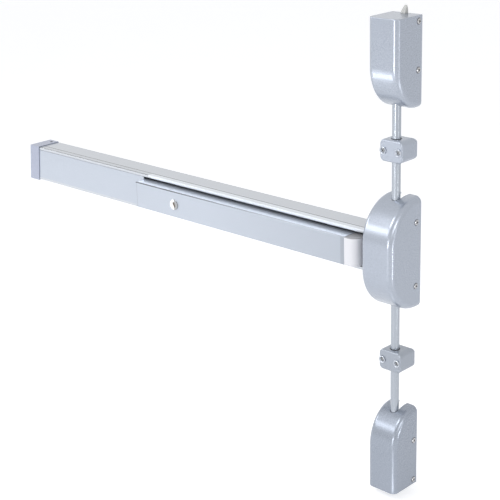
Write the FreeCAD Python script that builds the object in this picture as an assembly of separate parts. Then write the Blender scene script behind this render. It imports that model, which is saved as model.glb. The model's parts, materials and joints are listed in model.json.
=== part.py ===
import FreeCAD, Part
import math
import os

# Vertical rod exit device, built in millimetres in the frame of the door it is fixed to.
# The door's face is the plane y = 0 and the device stands off it towards -Y. +Z is up.
# The touch bar runs from the centre case towards -X, and the origin is the middle of the
# centre base plate's back face. The rods lie on the line x = 0, y = -rod_standoff.

# Clearances
sheet_gap = 0.3          # between plates, covers and brackets that lie on each other
running_gap = 0.06       # radial play of a shaft in its bore
rod_play = 0.4           # radial play of a rod in a plain hole
pin_play = 0.45          # play of a pin across a driven slot
screw_play = 0.25        # radial play of a screw in a plain hole
tight_gap = 0.05         # between a filler or plug and the edge that it is pushed against
bracket_gap = 1.0        # between brackets that are neighbours
past = 1.0               # how far a cutter or a joint reaches past a face
pin_tip = 1.0            # how far a pin shows past the part that it moves

# Rods
rod_radius = 7.95
rod_standoff = 27.0
rod_chamfer = 1.2

# Motion of the touch bar and of the levers that it drives
push_travel = 16.0
push_arm = 26.0          # bell crank arm that the touch bar moves
lever_arm = 19.0         # the other crank arm, and both arms of the lifting levers

# Centre case cover
case_width = 70.0
case_depth = 86.0
case_half_height = 105.0
case_round_depth = 80.0  # half axis, across the door, of its rounded ends
case_round_height = 80.0
case_edge_round = 12.0
case_wall = 3.0
case_notch_play = 1.0    # between the rod and the notch in the cover's end
case_screw_height = 60.0
case_screw_standoff = 13.5

# Latch case covers
latch_width = 64.0
latch_depth = 68.0
latch_height = 160.0
latch_round_depth = 62.0
latch_round_height = 75.0
latch_edge_round = 11.0
latch_wall = 2.5
latch_end_round = 1.2
latch_plate_height = 141.5 # from the flat end, short of the notch that the rod passes through
top_latch_end = 424.0    # height of the flat end of the top latch case
bottom_latch_end = -466.0
latch_screw_standoff = 9.5
latch_screw_first = 10.0 # from the flat end to the first side screw
latch_screw_second = 93.0

# Sheet parts and their holes
sheet = 2.5
ear_half_length = 9.0
ear_margin = 7.0
latch_ear_margin = 6.0
mount_hole_radius = 2.75
case_hole_half_pitch_x = 20.0
case_hole_half_pitch_z = 78.0
case_plate_half_height = 88.0 # short of the notches that the rods pass through
latch_hole_half_pitch_x = 18.0
latch_hole_first = 46.0  # from the flat end
latch_hole_pitch = 72.0

# Screws
cover_screw_radius = 2.0
cover_screw_head = 4.2
cover_screw_length = 7.0
guide_screw_radius = 2.4
guide_screw_head = 4.3
small_screw_radius = 1.7
small_screw_head = 3.3
small_screw_length = 5.0
small_screw_head_height = 1.2
recess_width = 0.9
recess_depth = 1.1
recess_share = 0.62      # length of a cross recess, of the head's diameter
head_dome = 0.5
screw_turn = 25.0        # degrees from one screw's recess to the next

# Rod guides
guide_width = 49.0
guide_depth = 43.5
guide_height = 40.0
guide_corner_round = 9.0
guide_edge_round = 3.5
upper_guide_height = 190.0
lower_guide_height = -208.0
guide_screw_offset = 16.6
guide_back_round = 9.0
guide_rim_radius = 6.6
guide_rim_height = 1.4
bush_wall = 1.3
bush_flange = 0.3

# Rail that holds the touch bar
rail_half_height = 38.5
rail_depth = 55.0
rail_wall = 2.2
rail_lip = 5.5
rail_edge_round = 1.2
rail_left = -1023.0
rail_rib = 1.4
rail_rib_height = 27.0

# End cap and bracket of the rail
cap_reach = 15.0         # of its lower edge beyond the rail's end
cap_overlap = 29.0       # of its upper edge along the rail
cap_wall = 1.5
cap_end_wall = 2.5
cap_edge_round = 5.0
cap_lean = 10.0           # how far its lower edge lies left of its upper edge
cap_screw_inset = 17.0   # of the upper screw, from the rail's end
cap_screw_standoff = 11.0
bracket_length = 76.0
bracket_tab_length = 25.0
bracket_tab_height = 16.0
bracket_hole_half_pitch = 20.0
bracket_hole_inset = 51.0

# Joiner that ties the rail to the centre base plate
joiner_left = -81.0
joiner_right = -4.0
joiner_half = 30.0
joiner_screw_inset = 9.0
joiner_screw_height = 22.0

# Touch bar
pad_half_height = 27.0
pad_standoff = 79.5
pad_wall = 2.2
pad_back = 46.0          # from the door to the free edges of its two walls
pad_left = -637.0
pad_right = -77.0
pad_edge_round = 1.8
pad_slot_rib = 3.0       # height of the ribs that hold the drive brackets against the pad's face
pad_rib_thick = 1.4
pad_plug_length = 15.0
pad_plug_wall = 2.5
pad_end_clearance = 1.2  # between the touch bar's left end and the filler plate

# Right end piece of the touch bar
nose_band = 9.0
nose_band_inset = 0.5
nose_right = -52.0
nose_round_depth = 20.0
nose_pocket = 62.0

# Filler plate
filler_leg = 10.0
filler_joint = 0.7       # visible joint along its upper edge
filler_lead = 8.0        # from the end cap's end wall to its left end
filler_hook = 1.5

# Bell cranks
crank_standoff = 17.0
left_crank_x = -430.0
right_crank_x = -190.0
crank_plate_low = 3.0
crank_plate_thick = 3.0
crank_hub_radius = 6.0
crank_hub_half = 15.5
crank_pin_radius = 2.5
crank_pivot_radius = 3.0
crank_pivot_head = 4.8
crank_pivot_head_height = 1.7
crank_arm_width = 9.0
crank_ear_half = 7.0
crank_base_length = 28.0
crank_screw_place = 19.0 # from the pivot
crank_screw_height = 9.0
drive_leg_inner = 10.8
drive_half_length = 9.0
drive_tip = 5.0          # of a drive bracket beyond its slot's middle
drive_corner_round = 3.0

# Connecting bar
bar_half_thick = 1.5
bar_half_width = 7.0
bar_end_margin = 9.0     # beyond its left slot
tail_radius = 4.0
tail_tip = 2.0           # beyond the spring's collar
return_spring_length = 24.0
collar_radius = 8.0
collar_width = 5.0
anchor_half_width = 12.0
anchor_margin = 9.0      # from the tail's middle to the anchor's front edge
anchor_screw_height = 8.0
return_spring_play = 0.7

# Lifting levers in the centre case
lever_pivot_height = 25.0
lever_thick = 3.0
lever_back = 22.0        # standoff of the face of the levers nearer the door
lever_hub_radius = 6.5
lever_end_radius = 5.2
lever_pin_radius = 2.2
lever_pivot_radius = 4.0
clip_radius = 6.2
clip_thick = 1.0
clip_half_mouth = 1.6
yoke_thick = 2.7
yoke_margin = 4.0
yoke_round = 2.0

# Rod connectors
connector_radius = 10.5
connector_bottom = 48.0
connector_top = 72.0
connector_socket = 14.0
tongue_half_width = 7.0
tongue_margin = 6.0
tongue_root = 4.0
tongue_round = 2.5
nut_flats = 26.0
nut_height = 7.0
nut_bevel = 1.6
case_guide_height = 84.0
case_guide_half_width = 15.0
case_guide_depth = 41.0
case_guide_round = 6.0
guide_foot = 14.0

# Latch mechanism, measured from the flat end of its case towards the rod
bolt_width = 9.0
bolt_thick = 9.0
bolt_standoff = 7.6
bolt_throw = 14.0
bolt_tip = 12.0
bolt_flat = 0.9          # thickness left at the end of its wedge
bolt_ridge = 0.4         # half width left at the end of its wedge
bolt_foot = 110.0
bolt_guide_place = 21.0
window_margin = 6.0      # of the bolt guide in front of its window
carrier_near = 82.0
carrier_far = 112.0
carrier_half_width = 11.0
carrier_round = 3.0
carrier_socket = 16.0
cross_pin_radius = 2.0
cross_pin_place = 89.0
pin_sink = 0.5
seat_place = 137.5
seat_margin = 2.0
bracket_half_width = 14.0
spring_turns = 6
spring_wire = 0.8        # radius
spring_radius = 9.8

# Lock in the touch bar
lock_x = -523.5
lock_radius = 11.0
lock_rim = 1.8
lock_rim_round = 0.8
lock_body_radius = 9.4
lock_length = 19.0
plug_radius = 6.6
plug_sink = 0.2
keyway_length = 9.0
keyway_width = 1.8
keyway_depth = 6.0
keyway_angle = 28.0
lock_nut_radius = 12.5
lock_nut_thick = 3.0
lock_nut_flat = 1.5
cam_length = 18.0
cam_width = 9.0
cam_thick = 2.8
catch_lip = 48.5         # standoff of the catch's lip, which the cam passes and then turns behind
catch_reach = 22.0
catch_half_width = 8.0
catch_foot = 14.0
catch_lip_length = 11.0
catch_screw_inset = 9.0

# Values worked out from those above
half_swing = math.asin(push_travel / 2 / push_arm)
slide_travel = 2 * lever_arm * math.sin(half_swing)
lever_side = lever_arm * math.cos(half_swing)
push_side = push_arm * math.cos(half_swing)
half_slide = slide_travel / 2
case_inner = case_width / 2 - case_wall
latch_inner = latch_width / 2 - latch_wall
plate_face = sheet + sheet_gap
rail_right = -case_inner - bracket_gap
cap_left = rail_left - cap_reach
cap_right = rail_left + cap_overlap
cap_screw_x = rail_left + cap_screw_inset
bar_standoff = crank_standoff + lever_arm
lever_pivot_x = lever_arm
bar_left = left_crank_x - half_slide - bar_end_margin
anchor_face = left_crank_x - crank_base_length - bracket_gap
collar_right = anchor_face - sheet - 2 * sheet_gap - return_spring_length
tail_left = collar_right - collar_width - tail_tip
cam_face = pad_standoff - lock_length - sheet_gap
bush_radius = rod_radius + bush_wall
top_rod_low = connector_top - connector_socket + sheet_gap
top_rod_high = top_latch_end - carrier_far + carrier_socket - sheet_gap
bottom_rod_low = bottom_latch_end + carrier_far - carrier_socket + sheet_gap
big = 400.0


def box(x0, x1, y0, y1, z0, z1):
    """Block between two values on each axis, given in any order."""
    low = FreeCAD.Vector(min(x0, x1), min(y0, y1), min(z0, z1))
    return Part.makeBox(abs(x1 - x0), abs(y1 - y0), abs(z1 - z0), low)


def rod(radius, start, end):
    """Round bar from one point to another."""
    a = FreeCAD.Vector(*start)
    b = FreeCAD.Vector(*end)
    return Part.makeCylinder(radius, (b - a).Length, a, b - a)


def fuse(*shapes):
    whole = shapes[0].multiFuse(list(shapes[1:]))
    return whole.removeSplitter()


def cut(shape, *tools):
    return shape.cut(list(tools))


def group(*shapes):
    """Separate solids that share one node."""
    return Part.makeCompound(list(shapes))


def mirror_z(shape, height=0.0):
    return shape.mirror(FreeCAD.Vector(0, 0, height), FreeCAD.Vector(0, 0, 1))


def moved(shape, x=0.0, y=0.0, z=0.0):
    copy = shape.copy()
    copy.translate(FreeCAD.Vector(x, y, z))
    return copy


def wire_face(points, edges=()):
    """Face inside straight runs through the points, closed by the given curved edges."""
    vectors = [FreeCAD.Vector(*p) for p in points]
    lines = [Part.makeLine(a, b) for a, b in zip(vectors, vectors[1:])]
    outline = Part.Wire(Part.__sortEdges__(lines + list(edges)))
    return Part.Face(outline)


def quarter(start, corner, end):
    """Quarter of an ellipse from start to end, bulging towards the corner."""
    round_share = 0.5523
    a = FreeCAD.Vector(*start)
    c = FreeCAD.Vector(*corner)
    b = FreeCAD.Vector(*end)
    curve = Part.BezierCurve()
    curve.setPoles([a, a + (c - a) * round_share, b + (c - b) * round_share, b])
    return curve.toShape()


def rounded_plate(x0, x1, z0, z1, back, thick, radius):
    """Plate parallel to the door with rounded corners, its back at the standoff given."""
    plate = box(x0, x1, -back, -back - thick, z0, z1)
    edges = [e for e in plate.Edges if abs(e.Vertexes[0].Y - e.Vertexes[-1].Y) > thick / 2]
    return plate.makeFillet(radius, edges)


def slot(radius, a, b, low, high, along):
    """Cutter for a slot between two places, through the span low to high on one axis."""
    def place(p, depth):
        if along == "y":
            return (p[0], depth, p[1])
        return (p[0], p[1], depth)
    ends = [rod(radius, place(p, low), place(p, high)) for p in (a, b)]
    v0 = FreeCAD.Vector(*place(a, low))
    v1 = FreeCAD.Vector(*place(b, low))
    run = v1 - v0
    depth = FreeCAD.Vector(*place(a, high)) - v0
    side = run.cross(depth)
    side.normalize()
    side = side * radius
    corners = [v0 + side, v1 + side, v1 - side, v0 - side, v0 + side]
    slab = Part.Face(Part.makePolygon(corners)).extrude(depth)
    return fuse(slab, *ends)


def screw(head, shank, length, head_height):
    """Countersunk screw with a cross recess. Its head's rim is at z = 0, its point at -length."""
    cone = Part.makeCone(shank, head, head_height, FreeCAD.Vector(0, 0, -head_height))
    stem = rod(shank, (0, 0, -length), (0, 0, -head_height / 2))
    ball_radius = (head ** 2 + head_dome ** 2) / (2 * head_dome)
    ball = Part.makeSphere(ball_radius, FreeCAD.Vector(0, 0, head_dome - ball_radius))
    dome = ball.common(rod(head, (0, 0, 0), (0, 0, 2 * head_dome)))
    reach = head * recess_share
    half = recess_width / 2
    floor = head_dome - recess_depth
    bars = [box(-reach, reach, -half, half, floor, head_dome * 2)]
    bars.append(box(-half, half, -reach, reach, floor, head_dome * 2))
    return cut(fuse(cone, stem, dome), *bars)


def seat_cone(head, shank, length, head_height, play):
    """Cutter for the countersunk hole that such a screw goes through."""
    cone = Part.makeCone(shank + play, head + play, head_height, FreeCAD.Vector(0, 0, -head_height))
    above = rod(head + play, (0, 0, 0), (0, 0, 3 * head_dome))
    stem = rod(shank + play, (0, 0, -length), (0, 0, 0))
    return fuse(cone, above, stem)


def aim(shape, x, y, z, axis, angle, turn=0.0):
    """Turn a screw about its own axis, then about a row axis, and put it in place."""
    copy = shape.copy()
    copy.rotate(FreeCAD.Vector(0, 0, 0), FreeCAD.Vector(0, 0, 1), turn)
    copy.rotate(FreeCAD.Vector(0, 0, 0), FreeCAD.Vector(*axis), angle)
    copy.translate(FreeCAD.Vector(x, y, z))
    return copy


def on_side(shape, x, y, z, turn=0.0):
    """Screw whose head faces the side that x is on."""
    return aim(shape, x, y, z, (0, 1, 0), 90 if x > 0 else -90, turn)


def on_front(shape, x, y, z, turn=0.0):
    """Screw whose head faces away from the door."""
    return aim(shape, x, y, z, (1, 0, 0), 90, turn)


def coil(radius, wire, turns, length):
    """Compression spring along +Z with its ends ground flat."""
    pitch = (length - 2 * wire) / turns
    helix = Part.makeHelix(pitch, pitch * turns, radius)
    helix.translate(FreeCAD.Vector(0, 0, wire))
    ring = Part.Wire(Part.makeCircle(wire, FreeCAD.Vector(radius, 0, wire), FreeCAD.Vector(0, 1, 0)))
    return Part.Wire(helix.Edges).makePipeShell([ring], True, True)


def case_body(width, depth, low, high, low_round, high_round, edge_round, extra_back):
    """Block of a cover's outer or inner form. A round is (across, along), or None for a flat end."""
    half = width / 2
    straight = []
    curves = []
    if low_round:
        y_low = -depth + low_round[0]
        z_low = low + low_round[1]
        curves.append(quarter((-half, y_low, low), (-half, -depth, low), (-half, -depth, z_low)))
        straight.append([(-half, y_low, low), (-half, extra_back, low)])
    else:
        z_low = low
        straight.append([(-half, -depth, low), (-half, extra_back, low)])
    if high_round:
        y_high = -depth + high_round[0]
        z_high = high - high_round[1]
        curves.append(quarter((-half, -depth, z_high), (-half, -depth, high), (-half, y_high, high)))
        straight.append([(-half, y_high, high), (-half, extra_back, high)])
    else:
        z_high = high
        straight.append([(-half, -depth, high), (-half, extra_back, high)])
    straight.append([(-half, extra_back, low), (-half, extra_back, high)])
    straight.append([(-half, -depth, z_low), (-half, -depth, z_high)])
    lines = [Part.makeLine(FreeCAD.Vector(*a), FreeCAD.Vector(*b)) for a, b in straight]
    outline = Part.Wire(Part.__sortEdges__(lines + curves))
    block = Part.Face(outline).extrude(FreeCAD.Vector(width, 0, 0))
    chain = []
    for e in block.Edges:
        middle = e.CenterOfMass
        on_profile = abs(abs(middle.x) - half) < tight_gap
        at_back = abs(middle.y - extra_back) < tight_gap
        at_flat_low = not low_round and abs(middle.z - low) < tight_gap
        at_flat_high = not high_round and abs(middle.z - high) < tight_gap
        if on_profile and not (at_back or at_flat_low or at_flat_high):
            chain.append(e)
    return block.makeFillet(edge_round, chain)


nodes = {}


# Centre case

def side_screw_places():
    for side in (-1, 1):
        for height in (-case_screw_height, case_screw_height):
            yield side, height


def cover_screw():
    return screw(cover_screw_head, cover_screw_radius, cover_screw_length, cover_screw_radius)


def cover_screw_hole(depth):
    return seat_cone(cover_screw_head, cover_screw_radius, depth, cover_screw_radius, screw_play)


def small_screw_hole(depth):
    return seat_cone(small_screw_head, small_screw_radius, depth, small_screw_head_height, screw_play)


def rod_notch(play, low, high):
    """Cutter for the notch, open towards the door, that a rod passes through."""
    radius = rod_radius + play
    hole = rod(radius, (0, -rod_standoff, low), (0, -rod_standoff, high))
    return fuse(hole, box(-radius, radius, -rod_standoff, big, low, high))


def center_cover():
    height = case_half_height
    rounds = (case_round_depth, case_round_height)
    outer = case_body(case_width, case_depth, -height, height, rounds, rounds, case_edge_round, 0)
    inner_rounds = (case_round_depth - case_wall, case_round_height - case_wall)
    inner = case_body(
        case_width - 2 * case_wall, case_depth - case_wall, -height + case_wall, height - case_wall,
        inner_rounds, inner_rounds, case_edge_round - case_wall, case_wall)
    shell = cut(outer, inner)
    middle = case_half_height - case_round_height
    rail_hole = box(
        -case_width, -case_inner + case_edge_round, -rail_depth - sheet_gap, case_wall,
        -rail_half_height - sheet_gap, rail_half_height + sheet_gap)
    notches = [rod_notch(case_notch_play, middle, height + case_wall)]
    notches.append(rod_notch(case_notch_play, -height - case_wall, -middle))
    holes = []
    for side, z in side_screw_places():
        hole = cover_screw_hole(case_wall * 2)
        holes.append(on_side(hole, side * case_width / 2, -case_screw_standoff, z))
    return cut(shell, rail_hole, *notches, *holes)


def center_base_plate():
    half = case_inner - sheet_gap
    tall = case_plate_half_height
    corner = case_edge_round - case_wall - sheet_gap
    plate = rounded_plate(-half, half, -tall, tall, 0, sheet, corner)
    reach = case_screw_standoff + ear_margin
    ears = []
    holes = []
    for side, z in side_screw_places():
        outside = side * half
        inside = side * (half - sheet)
        ears.append(box(outside, inside, 0, -reach, z - ear_half_length, z + ear_half_length))
        holes.append(rod(cover_screw_radius + screw_play, (side * case_width, -case_screw_standoff, z),
                         (0, -case_screw_standoff, z)))
    for x in (-case_hole_half_pitch_x, case_hole_half_pitch_x):
        for z in (-case_hole_half_pitch_z, case_hole_half_pitch_z):
            holes.append(rod(mount_hole_radius, (x, -sheet * 2, z), (x, sheet, z)))
    for x, z in joiner_screw_places():
        holes.append(rod(small_screw_radius + screw_play, (x, -sheet * 2, z), (x, sheet, z)))
    return cut(fuse(plate, *ears), *holes)


def center_cover_screws():
    screws = []
    for side, z in side_screw_places():
        screws.append(on_side(cover_screw(), side * case_width / 2, -case_screw_standoff, z,
                              screw_turn * side))
    return screws


nodes["center_cover"] = center_cover()


# Rail and the plates that hold it

def channel(x0, x1, half, depth, wall, lip):
    """Extruded channel, open towards the front between two lips."""
    outer = box(x0, x1, 0, -depth, -half, half)
    inner = box(x0, x1, -wall, -depth + wall, -half + wall, half - wall)
    mouth = box(x0, x1, -depth, -depth + wall, -half + lip, half - lip)
    return cut(outer, inner, mouth)


def long_edges(shape, y, heights):
    """Edges of an extrusion that run along X at the given standoff and heights."""
    found = []
    for e in shape.Edges:
        middle = e.CenterOfMass
        flat = abs(e.Vertexes[0].Y - e.Vertexes[-1].Y) + abs(e.Vertexes[0].Z - e.Vertexes[-1].Z)
        here = abs(middle.y - y) < tight_gap and any(abs(middle.z - h) < tight_gap for h in heights)
        if flat < tight_gap and here:
            found.append(e)
    return found


def bracket_holes(depth):
    x = rail_left + bracket_hole_inset
    return [rod(mount_hole_radius, (x, -depth, z), (x, past, z))
            for z in (-bracket_hole_half_pitch, bracket_hole_half_pitch)]


def crank_screw_places(x):
    """Places of the two screws that hold a crank's bracket or the spring anchor."""
    return [(x - crank_screw_place, z) for z in (-crank_screw_height, crank_screw_height)]


def joiner_screw_places():
    for x in (joiner_left + joiner_screw_inset, -case_inner + joiner_screw_inset):
        for z in (-joiner_screw_height, joiner_screw_height):
            yield x, z


def cap_screw_place(sign):
    """Place of the end cap's upper or lower screw, on the cap's outer face."""
    z = rail_half_height + sheet_gap + cap_wall
    x = cap_screw_x if sign > 0 else cap_screw_x - cap_lean
    return x, -cap_screw_standoff, sign * z


def cap_screw_hole(sign, radius, length):
    x, y, z = cap_screw_place(sign)
    return rod(radius, (x, y, z - sign * length), (x, y, z + sign * past))


def rail():
    body = channel(rail_left, rail_right, rail_half_height, rail_depth, rail_wall, rail_lip)
    front = long_edges(body, -rail_depth, (-rail_half_height, rail_half_height))
    body = body.makeFillet(rail_edge_round, front)
    ribs = []
    for sign in (-1, 1):
        z = sign * rail_rib_height
        ribs.append(box(rail_left, rail_right, -rail_wall / 2, -rail_wall - rail_rib, z,
                        z + sign * rail_rib))
    body = fuse(body, *ribs)
    cap_holes = [cap_screw_hole(sign, small_screw_radius + screw_play, cap_wall * 4) for sign in (-1, 1)]
    return cut(body, *bracket_holes(rail_wall * 2), *rail_screw_holes(), *cap_holes)


def rail_screw_holes():
    places = []
    for x in (left_crank_x, right_crank_x):
        places += crank_screw_places(x)
    places += anchor_screw_places()
    places += catch_screw_places()
    places += [p for p in joiner_screw_places() if p[0] < rail_right]
    return [rod(small_screw_radius + screw_play, (x, -rail_wall * 2, z), (x, past, z)) for x, z in places]


def anchor_screw_places():
    x = anchor_face - sheet - guide_foot / 2
    return [(x, z) for z in (-anchor_screw_height, anchor_screw_height)]


def catch_screw_places():
    return [(lock_x, -catch_reach + catch_screw_inset)]


def end_bracket():
    left = rail_left + bracket_gap
    right = left + bracket_tab_length
    back = -rail_wall - sheet_gap
    span = rail_rib_height - sheet_gap
    base = box(left, rail_left + bracket_length, back, back - sheet, -span, span)
    tabs = []
    for sign in (-1, 1):
        outer = sign * (rail_half_height - rail_wall - sheet_gap)
        inner = outer - sign * sheet
        lift = back - rail_rib
        tabs.append(box(left, right, lift - sheet, lift - bracket_tab_height, outer, inner))
        tabs.append(box(left, right, lift, lift - sheet, outer, sign * (span - sheet)))
    whole = fuse(base, *tabs)
    cap_holes = [cap_screw_hole(sign, small_screw_radius + screw_play, cap_wall * 6) for sign in (-1, 1)]
    return cut(whole, *bracket_holes(sheet * 4), *cap_holes)


def leaning_block(left, right, back, front, high):
    """Block whose left and right ends lean by the same slope, measured from its lower edge."""
    lean = cap_lean * high / (rail_half_height + sheet_gap + cap_wall)
    shift = (cap_lean - lean) / 2
    low_left = left + shift
    low_right = right - cap_lean + shift
    face = wire_face([(low_left, back, -high), (low_right, back, -high), (low_right + lean, back, high),
                      (low_left + lean, back, high), (low_left, back, -high)])
    return face.extrude(FreeCAD.Vector(0, front - back, 0))


def is_along_x(edge):
    run = edge.Vertexes[-1].Point - edge.Vertexes[0].Point
    return abs(run.x) > abs(run.z) + abs(run.y)


def end_cap():
    high = rail_half_height + sheet_gap + cap_wall
    deep = rail_depth + sheet_gap + cap_wall
    outer = leaning_block(cap_left, cap_right, 0, -deep, high)
    rim = [e for e in outer.Edges if e.CenterOfMass.x < cap_left + cap_lean + tight_gap
           and abs(e.CenterOfMass.y) > tight_gap and not is_along_x(e)]
    outer = outer.makeFillet(cap_edge_round, rim)
    inner = leaning_block(cap_left + cap_end_wall, cap_right + past, past, -deep + cap_wall,
                          high - cap_wall)
    holes = []
    for sign in (-1, 1):
        hole = small_screw_hole(cap_wall * 3)
        turned = 0 if sign > 0 else 180
        holes.append(aim(hole, *cap_screw_place(sign), (1, 0, 0), turned))
    return cut(outer, inner, *holes)


def end_cap_screws():
    screws = []
    for sign in (-1, 1):
        one = screw(small_screw_head, small_screw_radius, small_screw_length + sheet,
                    small_screw_head_height)
        turned = 0 if sign > 0 else 180
        screws.append(aim(one, *cap_screw_place(sign), (1, 0, 0), turned))
    return group(*screws)


def filler_plate():
    right = pad_left - pad_plug_wall - pad_end_clearance
    low = -rail_half_height + rail_lip + tight_gap
    high = rail_half_height - rail_lip - filler_joint
    left = cap_left + cap_lean + cap_end_wall + filler_lead
    face = box(left, right, -rail_depth, -rail_depth + rail_wall, low, high)
    legs = [box(left, right, -rail_depth, -rail_depth + filler_leg, low, low + rail_wall)]
    legs.append(box(left, right, -rail_depth, -rail_depth + filler_leg, high, high - rail_wall))
    hook_face = -rail_depth + rail_wall + sheet_gap
    hook_back = -rail_depth + filler_leg
    hooks = [box(left, right, hook_face, hook_back, low - filler_hook, low + rail_wall)]
    hooks.append(box(left, right, hook_face, hook_back, high + filler_hook + filler_joint / 2,
                     high - rail_wall))
    return fuse(face, *legs, *hooks)


def rail_joiner():
    front = -plate_face - sheet
    plate = box(joiner_left, joiner_right, -plate_face, front, -joiner_half, joiner_half)
    left = joiner_left - past
    right = rail_right + past
    edge = rail_rib_height - sheet_gap
    slits = [box(left, right, -rail_wall, front - past, sign * edge, sign * big) for sign in (-1, 1)]
    holes = []
    for x, z in joiner_screw_places():
        hole = small_screw_hole(3 * sheet)
        holes.append(on_front(hole, x, front, z))
    return cut(plate, *slits, *holes)


def small_screws(places, standoff):
    """Small screws whose heads lie in the face at the standoff given."""
    one = screw(small_screw_head, small_screw_radius, small_screw_length, small_screw_head_height)
    return [on_front(one, x, -standoff, z, screw_turn * k) for k, (x, z) in enumerate(places)]


nodes["center_base_plate"] = center_base_plate()
nodes["rail"] = rail()
nodes["filler_plate"] = filler_plate()
nodes["end_bracket"] = end_bracket()
nodes["end_cap"] = end_cap()
nodes["end_cap_screws"] = end_cap_screws()
nodes["rail_joiner"] = rail_joiner()


# Bell cranks in the rail and the bar that they pull

def crank_bracket(x):
    base_face = rail_wall + sheet_gap
    left = x - crank_base_length
    right = x + crank_ear_half
    base = box(left, right, -base_face, -base_face - sheet, -crank_hub_half - sheet_gap - sheet,
               crank_hub_half + sheet_gap + sheet)
    ears = []
    for sign in (-1, 1):
        inner = sign * (crank_hub_half + sheet_gap)
        ear = box(x - crank_ear_half, x + crank_ear_half, -base_face, -crank_standoff, inner,
                  inner + sign * sheet)
        tip = rod(crank_ear_half, (x, -crank_standoff, inner), (x, -crank_standoff, inner + sign * sheet))
        ears += [ear, tip]
    pin_hole = rod(crank_pivot_radius + running_gap, (x, -crank_standoff, -big), (x, -crank_standoff, big))
    holes = []
    for hole_x, z in crank_screw_places(x):
        hole = small_screw_hole(3 * sheet)
        holes.append(on_front(hole, hole_x, -base_face - sheet, z))
    return cut(fuse(base, *ears), pin_hole, *holes)


def crank_pivot(x):
    reach = crank_hub_half + sheet_gap + sheet
    top = reach + sheet_gap + crank_pivot_head_height
    stem = rod(crank_pivot_radius, (x, -crank_standoff, -reach - pin_tip), (x, -crank_standoff, top))
    head = rod(crank_pivot_head, (x, -crank_standoff, reach + sheet_gap), (x, -crank_standoff, top))
    return fuse(stem, head)


def crank_push_pin(x):
    """Middle of the pin that the touch bar moves, at rest."""
    return x + push_side, -crank_standoff - push_travel / 2


def crank_pull_pin(x):
    """Middle of the pin that moves the connecting bar, at rest."""
    return x - half_slide, -crank_standoff - lever_side


def crank(x):
    low = crank_plate_low
    high = crank_plate_low + crank_plate_thick
    px, py = crank_push_pin(x)
    qx, qy = crank_pull_pin(x)
    half = crank_arm_width / 2
    push = slot(half, (x, -crank_standoff), (px, py), low, high, "z")
    pull = slot(half, (x, -crank_standoff), (qx, qy), low, high, "z")
    hub = rod(crank_hub_radius, (x, -crank_standoff, -crank_hub_half), (x, -crank_standoff, crank_hub_half))
    leg = drive_leg_inner + sheet + pin_tip
    push_pin = rod(crank_pin_radius, (px, py, -leg), (px, py, leg))
    pull_pin = rod(crank_pin_radius, (qx, qy, -bar_half_thick - 2 * pin_tip), (qx, qy, high))
    bore = rod(crank_pivot_radius + running_gap, (x, -crank_standoff, -big), (x, -crank_standoff, big))
    return cut(fuse(push, pull, hub, push_pin, pull_pin), bore)


def drive_bracket(x):
    """Bracket in the touch bar whose two slotted legs move a crank's pin."""
    px, py = crank_push_pin(x)
    face = pad_standoff - pad_wall - sheet_gap
    span = pad_half_height - pad_wall - sheet_gap
    web = box(px - drive_half_length, px + drive_half_length, -face, -face + sheet, -span, span)
    tip = -py - drive_tip
    legs = []
    for sign in (-1, 1):
        inner = sign * drive_leg_inner
        leg = box(px - drive_half_length, px + drive_half_length, -face, -tip, inner, inner + sign * sheet)
        corners = [e for e in leg.Edges if abs(e.CenterOfMass.y + tip) < tight_gap
                   and abs(e.Vertexes[0].Z - e.Vertexes[-1].Z) > sheet / 2]
        legs.append(leg.makeFillet(drive_corner_round, corners))
    opening = slot(crank_pin_radius + pin_play, (px, py), (x + push_arm, py), -big, big, "z")
    return cut(fuse(web, *legs), opening)


def connecting_bar():
    """Flat bar in the rail, with a round tail at its left and a yoke in the centre case."""
    end = lever_pivot_x - half_slide + yoke_margin
    flat = box(bar_left, end, -bar_standoff + bar_half_width, -bar_standoff - bar_half_width,
               -bar_half_thick, bar_half_thick)
    slots = []
    for x in (left_crank_x, right_crank_x):
        qx, qy = crank_pull_pin(x)
        far = -crank_standoff - lever_arm
        slots.append(slot(crank_pin_radius + pin_play, (qx, qy), (qx, far), -big, big, "z"))
    tail = rod(tail_radius, (tail_left, -bar_standoff, 0), (bar_left + past, -bar_standoff, 0))
    back = bar_standoff - bar_half_width
    tall = lever_pivot_height - lever_side + yoke_margin
    yoke = rounded_plate(end - 3 * yoke_margin, end, -tall, tall, back - yoke_thick, yoke_thick, yoke_round)
    pins = []
    for sign in (-1, 1):
        z = sign * (lever_pivot_height - lever_side)
        pins.append(rod(lever_pin_radius, (lever_pivot_x - half_slide, -back, z),
                        (lever_pivot_x - half_slide, -lever_back + pin_tip, z)))
    return fuse(cut(flat, *slots), tail, yoke, *pins)


def spring_anchor():
    """Bracket on the rail that the tail passes and the return spring pushes against."""
    face = rail_wall + sheet_gap
    x = anchor_face
    wall = box(x - sheet, x, -face, -bar_standoff - anchor_margin, -anchor_half_width, anchor_half_width)
    foot = box(x - sheet - guide_foot, x, -face, -face - sheet, -anchor_half_width, anchor_half_width)
    hole = rod(tail_radius + rod_play, (x - big, -bar_standoff, 0), (x + big, -bar_standoff, 0))
    holes = []
    for hole_x, z in anchor_screw_places():
        one = small_screw_hole(3 * sheet)
        holes.append(on_front(one, hole_x, -face - sheet, z))
    return cut(fuse(wall, foot), hole, *holes)


def return_spring():
    start = collar_right + sheet_gap
    radius = tail_radius + return_spring_play + spring_wire
    spring = coil(radius, spring_wire, spring_turns, return_spring_length)
    spring.rotate(FreeCAD.Vector(0, 0, 0), FreeCAD.Vector(0, 1, 0), 90)
    return moved(spring, start, -bar_standoff, 0)


def spring_collar():
    left = collar_right - collar_width
    ring = rod(collar_radius, (left, -bar_standoff, 0), (collar_right, -bar_standoff, 0))
    bore = rod(tail_radius + tight_gap, (left - past, -bar_standoff, 0), (collar_right + past,
                                                                          -bar_standoff, 0))
    return cut(ring, bore)


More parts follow.
